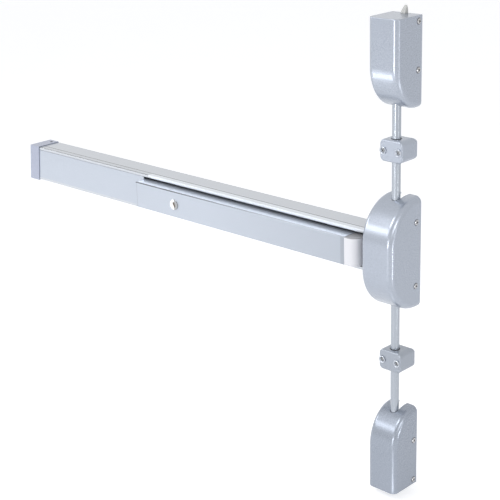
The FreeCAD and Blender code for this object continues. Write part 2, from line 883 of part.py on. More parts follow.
for name, place in (("left", left_crank_x), ("right", right_crank_x)):
    nodes[name + "_crank_bracket"] = crank_bracket(place)
    nodes[name + "_crank"] = crank(place)
    nodes[name + "_drive_bracket"] = drive_bracket(place)
nodes["crank_pivots"] = group(crank_pivot(left_crank_x), crank_pivot(right_crank_x))
nodes["connecting_bar"] = connecting_bar()
nodes["spring_anchor"] = spring_anchor()
nodes["return_spring"] = return_spring()
nodes["spring_collar"] = spring_collar()


# Touch bar

def pad_section(x0, x1):
    """U of the touch bar with the ribs that hold its brackets."""
    outer = box(x0, x1, -pad_standoff, -pad_back, -pad_half_height, pad_half_height)
    front = long_edges(outer, -pad_standoff, (-pad_half_height, pad_half_height))
    outer = outer.makeFillet(pad_edge_round, front)
    span = pad_half_height - pad_wall
    inner = box(x0 - past, x1 + past, -pad_standoff + pad_wall, past, -span, span)
    shell = cut(outer, inner)
    rib_front = pad_standoff - pad_wall - sheet - 2 * sheet_gap
    ribs = []
    for sign in (-1, 1):
        root = sign * (pad_half_height - pad_wall / 2)
        edge = sign * (span - pad_slot_rib)
        ribs.append(box(x0, x1, -rib_front, -rib_front + pad_rib_thick, root, edge))
    return fuse(shell, *ribs)


def lock_hole():
    return rod(lock_body_radius + screw_play, (lock_x, -pad_standoff - past, 0), (lock_x, 0, 0))


def push_bar():
    return cut(pad_section(pad_left, pad_right), lock_hole())


def pad_plug(x_face, direction, length):
    """Block that fits inside the touch bar's end, hollow at the back."""
    span = pad_half_height - pad_wall - sheet_gap
    front = pad_standoff - pad_wall - sheet_gap
    rib_front = pad_standoff - pad_wall - sheet - 2 * sheet_gap
    block = box(x_face, x_face + direction * length, -front, -pad_back, -span, span)
    ribs = []
    for sign in (-1, 1):
        edge = sign * (pad_half_height - pad_wall - pad_slot_rib - sheet_gap)
        ribs.append(box(x_face, x_face + direction * length, -rib_front - sheet_gap,
                        -rib_front + pad_rib_thick + sheet_gap, edge, sign * big))
    core = pad_half_height - pad_wall - pad_slot_rib - sheet
    hollow = box(x_face, x_face + direction * (length + past), -front + sheet, past, -core, core)
    return cut(block, hollow, *ribs)


def push_bar_left_plug():
    face = box(pad_left - pad_plug_wall, pad_left - tight_gap, -pad_standoff, -pad_back,
               -pad_half_height, pad_half_height)
    front = [e for e in face.Edges if abs(e.CenterOfMass.y + pad_standoff) < tight_gap
             and abs(abs(e.CenterOfMass.z) - pad_half_height) < tight_gap]
    face = face.makeFillet(pad_edge_round, front)
    return fuse(face, pad_plug(pad_left - pad_plug_wall / 2, 1, pad_plug_length))


def push_bar_nose():
    """Right end piece, whose face curves back to the rail."""
    start = pad_right + tight_gap
    band = pad_right + nose_band
    top = pad_half_height
    front = -pad_standoff
    turn = front + nose_round_depth
    curve = quarter((band, front, -top), (nose_right, front, -top), (nose_right, turn, -top))
    head = wire_face([(nose_right, turn, -top), (nose_right, -pad_back, -top), (band - past, -pad_back,
                                                                                -top),
                      (band - past, front, -top), (band, front, -top)], [curve])
    head = head.extrude(FreeCAD.Vector(0, 0, 2 * top))
    inset = nose_band_inset
    neck = box(start, band, front + inset, -pad_back, -top + inset, top - inset)
    tenon = pad_plug(pad_right + past, -1, pad_plug_length)
    span = top - pad_wall - sheet_gap
    left = pad_right - pad_plug_length - past
    pocket = box(left, nose_right + past, -nose_pocket, past, -span, span)
    core = top - pad_wall - pad_slot_rib - sheet
    deep = box(left, band + past, front + 3 * sheet, past, -core, core)
    return cut(fuse(head, neck, tenon), pocket, deep)


nodes["push_bar"] = push_bar()
nodes["push_bar_left_plug"] = push_bar_left_plug()
nodes["push_bar_nose"] = push_bar_nose()


# Lock that holds the touch bar in

def lock_bushing():
    seat = -pad_standoff - tight_gap
    rim = rod(lock_radius, (lock_x, seat - lock_rim, 0), (lock_x, seat, 0))
    edge = [e for e in rim.Edges if abs(e.CenterOfMass.y - seat + lock_rim) < tight_gap]
    rim = rim.makeFillet(lock_rim_round, edge)
    body = rod(lock_body_radius, (lock_x, -pad_standoff - lock_rim / 2, 0),
               (lock_x, -pad_standoff + lock_length, 0))
    bore = rod(plug_radius + running_gap, (lock_x, -big, 0), (lock_x, 0, 0))
    return cut(fuse(rim, body), bore)


def lock_nut():
    back = pad_standoff - pad_wall - sheet_gap
    nut = rod(lock_nut_radius, (lock_x, -back, 0), (lock_x, -back + lock_nut_thick, 0))
    flat = lock_nut_radius - lock_nut_flat
    flats = [box(lock_x - big, lock_x + big, -back - past, 0, sign * flat, sign * big) for sign in (-1, 1)]
    return cut(nut, rod(lock_body_radius + running_gap, (lock_x, -big, 0), (lock_x, 0, 0)), *flats)


def lock_plug():
    """Turning plug with the keyway in front and the cam behind, which lies along +X at rest."""
    front = pad_standoff + lock_rim - plug_sink
    stem = rod(plug_radius, (lock_x, -front, 0), (lock_x, -cam_face, 0))
    keyway = box(-keyway_length / 2, keyway_length / 2, -front - past, -front + keyway_depth,
                 -keyway_width / 2, keyway_width / 2)
    keyway.rotate(FreeCAD.Vector(0, 0, 0), FreeCAD.Vector(0, 1, 0), 90 - keyway_angle)
    keyway.translate(FreeCAD.Vector(lock_x, 0, 0))
    cam_end = lock_x + cam_length - cam_width / 2
    cam = slot(cam_width / 2, (lock_x, 0), (cam_end, 0), -cam_face, -cam_face + cam_thick, "y")
    hub = rod(plug_radius, (lock_x, -cam_face - past, 0), (lock_x, -cam_face + cam_thick, 0))
    return fuse(cut(stem, keyway), cam, hub)


def lock_catch():
    face = rail_wall + sheet_gap
    left = lock_x - catch_half_width
    right = lock_x + catch_half_width
    foot = box(left, right, -face, -face - sheet, -catch_reach, -catch_reach + catch_foot)
    riser = box(left, right, -face, -catch_lip, -catch_reach, -catch_reach + sheet)
    lip = box(left, right, -catch_lip + sheet, -catch_lip, -catch_reach, -catch_reach + catch_lip_length)
    hole_x, z = catch_screw_places()[0]
    hole = small_screw_hole(3 * sheet)
    return cut(fuse(foot, riser, lip), on_front(hole, hole_x, -face - sheet, z))


def rail_screws():
    """All the small screws that hold brackets and the joiner to the rail."""
    places = []
    for x in (left_crank_x, right_crank_x):
        places += crank_screw_places(x)
    places += anchor_screw_places()
    places += catch_screw_places()
    screws = small_screws(places, rail_wall + sheet_gap + sheet)
    screws += small_screws(list(joiner_screw_places()), plate_face + sheet)
    return group(*screws)


nodes["lock_bushing"] = lock_bushing()
nodes["lock_nut"] = lock_nut()
nodes["lock_plug"] = lock_plug()
nodes["lock_catch"] = lock_catch()
nodes["rail_screws"] = rail_screws()


# Lifting levers in the centre case. The lower one mirrors the upper one.

def upper_lever():
    """Lever that turns the connecting bar's push into the top rod's fall."""
    back = -lever_back
    front = -lever_back - lever_thick
    centre = (lever_pivot_x, lever_pivot_height)
    rod_end = (lever_pivot_x - lever_side, lever_pivot_height + half_slide)
    bar_end = (lever_pivot_x - half_slide, lever_pivot_height - lever_side)
    arm = slot(lever_end_radius, centre, rod_end, front, back, "y")
    leg = slot(lever_end_radius, centre, bar_end, front, back, "y")
    hub = rod(lever_hub_radius, (centre[0], front, centre[1]), (centre[0], back, centre[1]))
    reach = front - sheet_gap - yoke_thick - pin_tip
    pin = rod(lever_pin_radius, (rod_end[0], back, rod_end[1]), (rod_end[0], reach, rod_end[1]))
    share = (lever_arm - lever_side) / lever_arm
    inward = (bar_end[0] - (bar_end[0] - centre[0]) * share, bar_end[1] - (bar_end[1] - centre[1]) * share)
    track = slot(lever_pin_radius + pin_play, inward, bar_end, -big, big, "y")
    bore = rod(lever_pivot_radius + running_gap, (centre[0], -big, centre[1]), (centre[0], 0, centre[1]))
    return cut(fuse(arm, leg, hub, pin), track, bore)


def lever_pivots():
    studs = []
    for sign in (-1, 1):
        z = sign * lever_pivot_height
        tip = lever_back + lever_thick + 2 * sheet_gap + clip_thick + pin_tip
        foot = (lever_pivot_x, -plate_face, z)
        shoulder = rod(lever_hub_radius, foot, (lever_pivot_x, -lever_back + sheet_gap, z))
        stud = rod(lever_pivot_radius, foot, (lever_pivot_x, -tip, z))
        studs.append(fuse(shoulder, stud))
    return group(*studs)


def lever_clips():
    clips = []
    front = lever_back + lever_thick + sheet_gap
    for sign in (-1, 1):
        z = sign * lever_pivot_height
        ring = rod(clip_radius, (lever_pivot_x, -front, z), (lever_pivot_x, -front - clip_thick, z))
        bore = rod(lever_pivot_radius + tight_gap, (lever_pivot_x, -big, z), (lever_pivot_x, 0, z))
        mouth = box(lever_pivot_x, lever_pivot_x + big, -front - clip_thick - past, -front + past,
                    z - clip_half_mouth, z + clip_half_mouth)
        clips.append(cut(ring, bore, mouth))
    return group(*clips)


nodes["upper_lever"] = upper_lever()
nodes["lower_lever"] = mirror_z(nodes["upper_lever"])
nodes["lever_pivots"] = lever_pivots()
nodes["lever_clips"] = lever_clips()


# Rods with their connectors, and the brackets that guide them in the centre case

def top_connector():
    body = rod(connector_radius, (0, -rod_standoff, connector_bottom), (0, -rod_standoff, connector_top))
    middle = rod_standoff
    low = lever_pivot_height + half_slide - tongue_margin
    tongue = rounded_plate(-tongue_half_width, tongue_half_width, low, connector_bottom + tongue_root,
                           middle - yoke_thick / 2 + sheet_gap, yoke_thick, tongue_round)
    socket = rod(rod_radius + tight_gap, (0, -rod_standoff, connector_top - connector_socket),
                 (0, -rod_standoff, connector_top + past))
    pin_x = lever_pivot_x - lever_side
    pin_z = lever_pivot_height + half_slide
    track = slot(lever_pin_radius + pin_play, (0, pin_z), (pin_x, pin_z), -big, big, "y")
    return cut(fuse(body, tongue), socket, track)


def hexagon(flats, z0, z1):
    corner = flats / math.sqrt(3)
    points = []
    for k in range(7):
        angle = math.radians(60 * k)
        points.append(FreeCAD.Vector(corner * math.cos(angle), -rod_standoff + corner * math.sin(angle),
                                     z0))
    return Part.Face(Part.makePolygon(points)).extrude(FreeCAD.Vector(0, 0, z1 - z0))


def top_lock_nut():
    z0 = connector_top + sheet_gap
    z1 = z0 + nut_height
    shoulder = z1 - nut_bevel
    corner = nut_flats / math.sqrt(3)
    cone = Part.makeCone(corner + tight_gap, nut_flats / 2, nut_bevel, FreeCAD.Vector(0, -rod_standoff,
                                                                                      shoulder))
    base = rod(corner + tight_gap, (0, -rod_standoff, z0), (0, -rod_standoff, shoulder))
    nut = hexagon(nut_flats, z0, z1).common(fuse(cone, base))
    return cut(nut, rod(rod_radius + tight_gap, (0, -rod_standoff, z0 - past), (0, -rod_standoff,
                                                                                z1 + past)))


def upper_case_guide():
    """Bracket that keeps the top rod upright where it enters the centre case."""
    z = case_guide_height
    wall = box(-case_guide_half_width, case_guide_half_width, -plate_face, -case_guide_depth, z, z + sheet)
    corners = [e for e in wall.Edges if abs(e.CenterOfMass.y + case_guide_depth) < tight_gap
               and abs(e.Vertexes[0].Z - e.Vertexes[-1].Z) > sheet / 2]
    wall = wall.makeFillet(case_guide_round, corners)
    foot = box(-case_guide_half_width, case_guide_half_width, -plate_face, -plate_face - sheet,
               z - guide_foot, z + sheet)
    hole = rod(rod_radius + rod_play, (0, -rod_standoff, z - past), (0, -rod_standoff, z + sheet + past))
    return cut(fuse(wall, foot), hole)


def round_bar(low, high):
    bar = rod(rod_radius, (0, -rod_standoff, low), (0, -rod_standoff, high))
    return bar.makeChamfer(rod_chamfer, [e for e in bar.Edges if len(e.Vertexes) == 1])


nodes["top_rod"] = round_bar(top_rod_low, top_rod_high)
nodes["top_rod_connector"] = top_connector()
nodes["top_rod_lock_nut"] = top_lock_nut()
nodes["upper_case_guide"] = upper_case_guide()
nodes["bottom_rod"] = round_bar(bottom_rod_low, -top_rod_low)
nodes["bottom_rod_connector"] = mirror_z(nodes["top_rod_connector"])
nodes["bottom_rod_lock_nut"] = mirror_z(nodes["top_rod_lock_nut"])
nodes["lower_case_guide"] = mirror_z(nodes["upper_case_guide"])


# Rod guides on the door

def guide_side_form(half, low, high):
    """Block whose two edges along the door are rounded, which shapes a guide's sides."""
    form = box(-half, half, 0, -guide_depth - past, low, high)
    back = [e for e in form.Edges if abs(e.CenterOfMass.y) < tight_gap and is_along_x(e)]
    return form.makeFillet(guide_back_round, back)


def guide_body(height):
    low = height - guide_height / 2
    high = height + guide_height / 2
    half = guide_width / 2
    block = rounded_plate(-half, half, low, high, 0, guide_depth, guide_corner_round)
    block = block.common(guide_side_form(half, low, high))
    front = [e for e in block.Edges if abs(e.CenterOfMass.y + guide_depth) < tight_gap]
    block = block.makeFillet(guide_edge_round, front)
    rims = []
    holes = []
    for x in (-guide_screw_offset, guide_screw_offset):
        rim_face = -guide_depth - guide_rim_height
        rims.append(rod(guide_rim_radius, (x, -guide_depth + past, height), (x, rim_face, height)))
        hole = seat_cone(guide_screw_head, guide_screw_radius, guide_depth * 2, guide_screw_radius,
                         screw_play)
        holes.append(on_front(hole, x, rim_face, height))
    bore = rod(bush_radius + running_gap, (0, -rod_standoff, low - past), (0, -rod_standoff, high + past))
    return cut(fuse(block, *rims), bore, *holes)


def guide_screws(height):
    one = screw(guide_screw_head, guide_screw_radius, guide_depth - bracket_gap, guide_screw_radius)
    places = (-guide_screw_offset, guide_screw_offset)
    return [on_front(one, x, -guide_depth - guide_rim_height, height, screw_turn + x) for x in places]


def guide_bush(height):
    low = height - guide_height / 2 - bush_flange - sheet_gap
    high = height + guide_height / 2 + bush_flange + sheet_gap
    sleeve = rod(bush_radius, (0, -rod_standoff, low), (0, -rod_standoff, high))
    bore = rod(rod_radius + running_gap, (0, -rod_standoff, low - past), (0, -rod_standoff, high + past))
    return cut(sleeve, bore)


nodes["upper_guide"] = guide_body(upper_guide_height)
nodes["lower_guide"] = guide_body(lower_guide_height)
nodes["guide_bushes"] = group(guide_bush(upper_guide_height), guide_bush(lower_guide_height))
nodes["guide_screws"] = group(*guide_screws(upper_guide_height), *guide_screws(lower_guide_height))


# Latch cases. Each is modelled with its flat end up, and the bottom one is then mirrored.

def latch_screw_places(end):
    for side in (-1, 1):
        for depth in (latch_screw_first, latch_screw_second):
            yield side, end - depth


def latch_cover(end):
    low = end - latch_height
    rounds = (latch_round_depth, latch_round_height)
    outer = case_body(latch_width, latch_depth, low, end, rounds, None, latch_edge_round, 0)
    rim = [e for e in outer.Edges if abs(e.CenterOfMass.z - end) < tight_gap
           and e.CenterOfMass.y < -tight_gap]
    outer = outer.makeFillet(latch_end_round, rim)
    inner_rounds = (latch_round_depth - latch_wall, latch_round_height - latch_wall)
    inner = case_body(latch_width - 2 * latch_wall, latch_depth - latch_wall, low + latch_wall,
                      end - latch_wall,
                      inner_rounds, None, latch_edge_round - latch_wall, latch_wall)
    notch = rod_notch(case_notch_play, low - past, low + latch_round_height)
    gap = rod_play * 2
    bolt_hole = box(-bolt_width / 2 - gap, bolt_width / 2 + gap, past,
                    -bolt_standoff - bolt_thick / 2 - gap,
                    end - 2 * latch_wall, end + past)
    holes = []
    for side, z in latch_screw_places(end):
        hole = cover_screw_hole(latch_wall * 2)
        holes.append(on_side(hole, side * latch_width / 2, -latch_screw_standoff, z))
    return cut(outer, inner, notch, bolt_hole, *holes)


def latch_base(end):
    half = latch_inner - sheet_gap
    low = end - latch_plate_height
    high = end - latch_wall - sheet_gap
    plate = box(-half, half, 0, -sheet, low, high)
    corner = [e for e in plate.Edges if abs(e.CenterOfMass.z - low) < tight_gap
              and abs(e.Vertexes[0].Y - e.Vertexes[-1].Y) > sheet / 2]
    plate = plate.makeFillet(latch_edge_round - latch_wall - sheet_gap, corner)
    ears = []
    holes = []
    reach = latch_screw_standoff + latch_ear_margin
    for side, z in latch_screw_places(end):
        top = min(z + ear_half_length, high)
        ears.append(box(side * half, side * (half - sheet), 0, -reach, z - ear_half_length, top))
        holes.append(rod(cover_screw_radius + screw_play, (side * latch_width, -latch_screw_standoff, z),
                         (0, -latch_screw_standoff, z)))
    for x in (-latch_hole_half_pitch_x, latch_hole_half_pitch_x):
        for z in (end - latch_hole_first, end - latch_hole_first - latch_hole_pitch):
            holes.append(rod(mount_hole_radius, (x, -sheet * 2, z), (x, past, z)))
    return cut(fuse(plate, *ears), *holes)


def latch_cover_screws(end):
    return [on_side(cover_screw(), side * latch_width / 2, -latch_screw_standoff, z, screw_turn + side * z)
            for side, z in latch_screw_places(end)]


def bolt_guide(end):
    """Folded bracket with the window that the latch bolt slides in."""
    z = end - bolt_guide_place
    deep = bolt_standoff + bolt_thick / 2 + window_margin
    wall = box(-bracket_half_width, bracket_half_width, -plate_face, -deep, z, z + sheet)
    foot = box(-bracket_half_width, bracket_half_width, -plate_face, -plate_face - sheet, z - guide_foot,
               z + sheet)
    gap = rod_play
    window = box(-bolt_width / 2 - gap, bolt_width / 2 + gap, -bolt_standoff + bolt_thick / 2 + gap,
                 -bolt_standoff - bolt_thick / 2 - gap, z - big, z + big)
    return cut(fuse(wall, foot), window)


def spring_seat(end):
    z = end - seat_place
    deep = rod_standoff + spring_radius + seat_margin
    wall = box(-bracket_half_width, bracket_half_width, -plate_face, -deep, z - sheet, z)
    foot = box(-bracket_half_width, bracket_half_width, -plate_face, -plate_face - sheet,
               z - sheet, z - sheet + guide_foot)
    hole = rod(rod_radius + rod_play, (0, -rod_standoff, z - big), (0, -rod_standoff, z + big))
    return cut(fuse(wall, foot), hole)


def bolt_carrier(end):
    low = end - carrier_far
    high = end - carrier_near
    half = carrier_half_width
    back = bolt_standoff + bolt_thick / 2 + sheet_gap
    block = box(-half, half, -back, -rod_standoff - half, low, high)
    upright = [e for e in block.Edges if abs(e.Vertexes[0].Z - e.Vertexes[-1].Z) > tight_gap]
    block = block.makeFillet(carrier_round, upright)
    socket = rod(rod_radius + tight_gap, (0, -rod_standoff, low - past), (0, -rod_standoff,
                                                                          low + carrier_socket))
    pin_hole = rod(cross_pin_radius + tight_gap, (0, -big, end - cross_pin_place), (0, 0,
                                                                                    end - cross_pin_place))
    return cut(block, socket, pin_hole)


def latch_bolt(end):
    """Square bolt with a wedge tip whose sides draw in to a narrow ridge."""
    half = bolt_width / 2
    front = -bolt_standoff - bolt_thick / 2
    back = -bolt_standoff + bolt_thick / 2
    tip = end + bolt_throw
    start = tip - bolt_tip
    shaft = box(-half, half, front, back, end - bolt_foot, tip)
    flat = back - bolt_flat
    above = tip + past
    ramp = wire_face([(-big, front - past, start), (-big, front, start), (-big, flat, tip), (-big, flat,
                                                                                             above),
                      (-big, front - past, above), (-big, front - past, start)])
    ramp = ramp.extrude(FreeCAD.Vector(2 * big, 0, 0))
    cheeks = []
    for sign in (-1, 1):
        ridge = sign * bolt_ridge
        side = sign * half
        beyond = sign * bolt_width
        curve = quarter((side, -big, start), (side, -big, tip), (ridge, -big, tip))
        face = wire_face([(ridge, -big, tip), (ridge, -big, above), (beyond, -big, above),
                          (beyond, -big, start), (side, -big, start)], [curve])
        cheeks.append(face.extrude(FreeCAD.Vector(0, 2 * big, 0)))
    pin_height = end - cross_pin_place
    pin_hole = rod(cross_pin_radius + tight_gap, (0, -big, pin_height), (0, back + past, pin_height))
    return cut(shaft, ramp, *cheeks, pin_hole)


def cross_pin(end):
    z = end - cross_pin_place
    front = -rod_standoff - carrier_half_width + pin_sink
    back = -bolt_standoff + bolt_thick / 2 - pin_sink
    return rod(cross_pin_radius, (0, front, z), (0, back, z))


def latch_spring(end):
    low = end - seat_place + sheet_gap
    high = end - carrier_far - sheet_gap
    spring = coil(spring_radius, spring_wire, spring_turns, high - low)
    return moved(spring, 0, -rod_standoff, low)


latch_makers = {
    "latch_base": latch_base,
    "latch_cover": latch_cover,
    "bolt_guide": bolt_guide,
    "spring_seat": spring_seat,
    "bolt_carrier": bolt_carrier,
    "latch_bolt": latch_bolt,
    "cross_pin": cross_pin,
    "latch_spring": latch_spring,
}
for name, maker in latch_makers.items():
    nodes["top_" + name] = maker(top_latch_end)
    nodes["bottom_" + name] = mirror_z(maker(-bottom_latch_end))

top_screws = latch_cover_screws(top_latch_end)
bottom_screws = [mirror_z(one) for one in latch_cover_screws(-bottom_latch_end)]
nodes["cover_screws"] = group(*center_cover_screws(), *top_screws, *bottom_screws)

os.makedirs("parts", exist_ok=True)
for name, shape in nodes.items():
    shape.exportStep("parts/" + name + ".step")
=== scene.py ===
import json
import math
import bmesh
import bpy
from mathutils import Matrix, Vector


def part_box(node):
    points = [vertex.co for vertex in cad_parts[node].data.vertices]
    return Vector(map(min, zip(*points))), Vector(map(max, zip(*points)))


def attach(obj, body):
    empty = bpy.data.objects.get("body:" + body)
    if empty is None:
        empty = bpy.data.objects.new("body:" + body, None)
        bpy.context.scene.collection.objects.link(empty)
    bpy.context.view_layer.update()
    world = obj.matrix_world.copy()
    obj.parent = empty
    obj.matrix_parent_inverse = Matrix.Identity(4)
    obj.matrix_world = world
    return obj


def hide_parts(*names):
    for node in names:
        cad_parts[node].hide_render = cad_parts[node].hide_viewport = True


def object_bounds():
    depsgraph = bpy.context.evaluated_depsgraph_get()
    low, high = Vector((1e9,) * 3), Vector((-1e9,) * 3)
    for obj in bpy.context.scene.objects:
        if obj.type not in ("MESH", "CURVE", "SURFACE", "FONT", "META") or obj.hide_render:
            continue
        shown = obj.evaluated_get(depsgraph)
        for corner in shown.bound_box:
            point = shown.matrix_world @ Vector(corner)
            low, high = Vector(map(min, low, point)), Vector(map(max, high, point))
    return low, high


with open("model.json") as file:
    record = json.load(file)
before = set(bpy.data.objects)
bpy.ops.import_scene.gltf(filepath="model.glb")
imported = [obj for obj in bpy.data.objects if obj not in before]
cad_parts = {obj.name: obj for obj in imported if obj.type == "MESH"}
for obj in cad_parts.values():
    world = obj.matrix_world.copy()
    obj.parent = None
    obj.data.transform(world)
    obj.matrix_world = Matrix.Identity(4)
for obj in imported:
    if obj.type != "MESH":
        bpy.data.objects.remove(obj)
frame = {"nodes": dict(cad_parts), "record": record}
cad_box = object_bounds()
scene = bpy.context.scene
nodes = frame["nodes"]


# Grain of the materials, in cells a metre along X, Y and Z

ALONG_X = (5, 2200, 2200)
ALONG_Z = (1100, 1100, 9)
EVEN = (700, 700, 700)
COARSE = (60, 60, 60)
METAL_CLOUDS = (18, 18, 18)
PAINT_CLOUDS = (420, 420, 260)
PAINT_PEEL = (900, 900, 900)
PLASTIC_GRAINS = (1500, 1500, 1500)
FLOOR_CLOUDS = (3, 3, 3)
FLAKES = 3800            # the flakes of a paint are the same along all axes


# Materials, all procedural. Object coordinates are the frame's, in metres.

class Shader:
    """A small wrapper that adds nodes to one material and joins them."""

    def __init__(self, name):
        self.material = bpy.data.materials.new(name)
        self.material.use_nodes = True
        self.tree = self.material.node_tree
        self.surface = self.tree.nodes["Principled BSDF"]
        self.place = self.add("ShaderNodeTexCoord").outputs["Object"]

    def add(self, kind, **values):
        node = self.tree.nodes.new(kind)
        for key, value in values.items():
            setattr(node, key, value)
        return node

    def join(self, source, target):
        self.tree.links.new(source, target)

    def drive(self, name, source):
        """Joins a value to one of the surface's sockets."""
        self.join(source, self.surface.inputs[name])

    def fix(self, name, value):
        """Sets one of the surface's sockets to a plain value."""
        self.surface.inputs[name].default_value = value

    def noise(self, scale, detail=3.0, roughness=0.55):
        """Noise whose scale is given for each axis, in cells a metre."""
        mapping = self.add("ShaderNodeMapping")
        mapping.inputs["Scale"].default_value = scale
        self.join(self.place, mapping.inputs["Vector"])
        noise = self.add("ShaderNodeTexNoise")
        noise.inputs["Scale"].default_value = 1.0
        noise.inputs["Detail"].default_value = detail
        noise.inputs["Roughness"].default_value = roughness
        self.join(mapping.outputs["Vector"], noise.inputs["Vector"])
        return noise.outputs["Fac"]

    def spots(self, scale):
        """A random value in each small cell of space, for flakes in a paint."""
        cells = self.add("ShaderNodeTexVoronoi")
        cells.inputs["Scale"].default_value = scale
        self.join(self.place, cells.inputs["Vector"])
        split = self.add("ShaderNodeSeparateColor")
        self.join(cells.outputs["Color"], split.inputs["Color"])
        return split.outputs["Red"]

    def spread(self, value, low, high, from_low=0.3, from_high=0.7):
        """A value stretched to a range. Noise mostly lies between 0.3 and 0.7."""
        node = self.add("ShaderNodeMapRange")
        node.inputs["From Min"].default_value = from_low
        node.inputs["From Max"].default_value = from_high
        node.inputs["To Min"].default_value = low
        node.inputs["To Max"].default_value = high
        self.join(value, node.inputs["Value"])
        return node.outputs["Result"]

    def shades(self, value, dark, light):
        """A colour between two, by a value from 0 to 1."""
        node = self.add("ShaderNodeMix", data_type="RGBA")
        node.inputs["A"].default_value = (*dark, 1)
        node.inputs["B"].default_value = (*light, 1)
        self.join(value, node.inputs["Factor"])
        return node.outputs["Result"]

    def calculated(self, operation, one, other):
        """The result of an operation on a value and another value or plain number."""
        node = self.add("ShaderNodeMath", operation=operation)
        self.join(one, node.inputs[0])
        if isinstance(other, (int, float)):
            node.inputs[1].default_value = other
        else:
            self.join(other, node.inputs[1])
        return node.outputs[0]

    def coordinate(self, axis):
        """The object coordinate on an axis."""
        split = self.add("ShaderNodeSeparateXYZ")
        self.join(self.place, split.inputs["Vector"])
        return split.outputs[axis]

    def within(self, axis, low, high):
        """1 where the coordinate on an axis lies between two values, and 0 elsewhere."""
        value = self.coordinate(axis)
        above = self.calculated("GREATER_THAN", value, low)
        below = self.calculated("LESS_THAN", value, high)
        return self.calculated("MULTIPLY", above, below)

    def tinted(self, colour, where, factor):
        """The colour, multiplied by a factor where the mask is 1."""
        scale = self.spread(where, 1.0, factor, 0.0, 1.0)
        node = self.add("ShaderNodeVectorMath", operation="SCALE")
        self.join(colour, node.inputs[0])
        self.join(scale, node.inputs["Scale"])
        return node.outputs[0]

    def marked(self, colour, marks):
        """The colour with marks drawn on it, as mark() makes them."""
        for factor, fade, box in marks:
            masks = [self.within(axis, *limits) for axis, limits in box.items()]
            if fade:
                masks.append(self.spread(self.coordinate("X"), 0.0, 1.0, *fade))
            where = masks[0]
            for mask in masks[1:]:
                where = self.calculated("MULTIPLY", where, mask)
            colour = self.tinted(colour, where, factor)
        return colour

    def bump(self, value, height):
        """The normal of a surface raised by a value, up to a height in metres."""
        node = self.add("ShaderNodeBump")
        node.inputs["Strength"].default_value = 1.0
        node.inputs["Distance"].default_value = height
        self.join(value, node.inputs["Height"])
        return node.outputs["Normal"]


def scaled(colour, factor):
    """The colour, multiplied by a factor and kept under 1."""
    return tuple(min(1.0, channel * factor) for channel in colour)


def mark(factor, fade=None, **box):
    """A region of a surface whose colour is multiplied by a factor.

    The box has limits on some of the axes X, Y and Z. A fade has the two places along X between which the
    factor comes in.
    """
    return factor, fade, box


def paint(name, colour, metallic, roughness, contrast=0.05, marks=()):
    """Metallic paint: fine flakes, a faint cloudiness and a slight orange peel."""
    shader = Shader(name)
    flakes = shader.spots(FLAKES)
    clouds = shader.noise(PAINT_CLOUDS, 4, 0.6)
    fine = shader.spread(flakes, 0.0, 0.6, 0.0, 1.0)
    mixed = shader.calculated("ADD", fine, shader.spread(clouds, 0.0, 0.4))
    base = shader.shades(mixed, scaled(colour, 1 - contrast), scaled(colour, 1 + contrast))
    shader.drive("Base Color", shader.marked(base, marks))
    shader.drive("Roughness", shader.spread(flakes, roughness - 0.06, roughness + 0.06, 0.0, 1.0))
    peel = shader.noise(PAINT_PEEL, 2)
    shader.drive("Normal", shader.bump(peel, 0.00002))
    shader.fix("Metallic", metallic)
    shader.fix("Coat Weight", 0.15)
    shader.fix("Coat Roughness", 0.25)
    return shader.material


def brushed(name, colour, metallic, roughness, grain, contrast=0.06, height=0.000004, marks=(),
            swing=0.07):
    """Metal with a fine grain along the axis whose scale is low. The roughness varies by the swing."""
    shader = Shader(name)
    strokes = shader.noise(grain, 4, 0.7)
    clouds = shader.noise(METAL_CLOUDS, 2)
    mixed = shader.calculated("ADD", shader.spread(strokes, 0.0, 0.75), shader.spread(clouds, 0.0, 0.25))
    base = shader.shades(mixed, scaled(colour, 1 - contrast), scaled(colour, 1 + contrast))
    shader.drive("Base Color", shader.marked(base, marks))
    shader.drive("Roughness", shader.spread(strokes, roughness - swing, roughness + swing))
    shader.drive("Normal", shader.bump(strokes, height))
    shader.fix("Metallic", metallic)
    return shader.material


def drawn_aluminium(name, colour, marks):
    """The smooth, faintly grained aluminium of the rail and the touch bar."""
    return brushed(name, colour, 0.6, 0.30, ALONG_X, 0.012, 0.0000003, marks, 0.02)


def plastic(name, colour, roughness):
    """Plastic with a fine, faint grain."""
    shader = Shader(name)
    grains = shader.noise(PLASTIC_GRAINS, 2)
    base = shader.shades(shader.spread(grains, 0, 1), scaled(colour, 0.85), scaled(colour, 1.2))
    shader.drive("Base Color", base)
    shader.drive("Roughness", shader.spread(grains, roughness - 0.08, roughness + 0.08))
    shader.drive("Normal", shader.bump(grains, 0.00002))
    return shader.material


# Painted shade and painted highlights drawn on the rail, the bar, its nose and the lock

SKIN = 0.0006            # how far a mark reaches past its face, to either side
TOP_EDGE = 0.0012        # how deep a mark on the bar's top reaches
rail_low, rail_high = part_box("rail")
bar_low, bar_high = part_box("push_bar")
lock_low, lock_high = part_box("lock_bushing")
lock_middle = (lock_low.x + lock_high.x) / 2
bar_top = (bar_high.z - TOP_EDGE, bar_high.z + SKIN)


def rail_painted_shade_and_highlight():
    """Painted shade as two dark lines along the rail's top, one in its groove and one along its front
    edge, and a painted highlight as a bright strip over the opening above the bar.
    """
    top = (rail_high.z - SKIN, rail_high.z + SKIN)
    groove = rail_low.y + 0.0135
    half_groove = 0.0010
    edge_shade_width = 0.0018
    highlight_strip_depth = 0.003
    opening = bar_low.x + 0.011
    return [
        mark(0.22, Z=top, Y=(groove - half_groove, groove + half_groove)),
        mark(0.22, Z=top, Y=(rail_low.y - SKIN, rail_low.y + edge_shade_width), X=(rail_low.x, opening)),
        mark(1.25, Z=(rail_high.z - highlight_strip_depth, rail_high.z + SKIN),
             Y=(rail_low.y - SKIN, groove - half_groove), X=(opening, rail_high.x)),
    ]


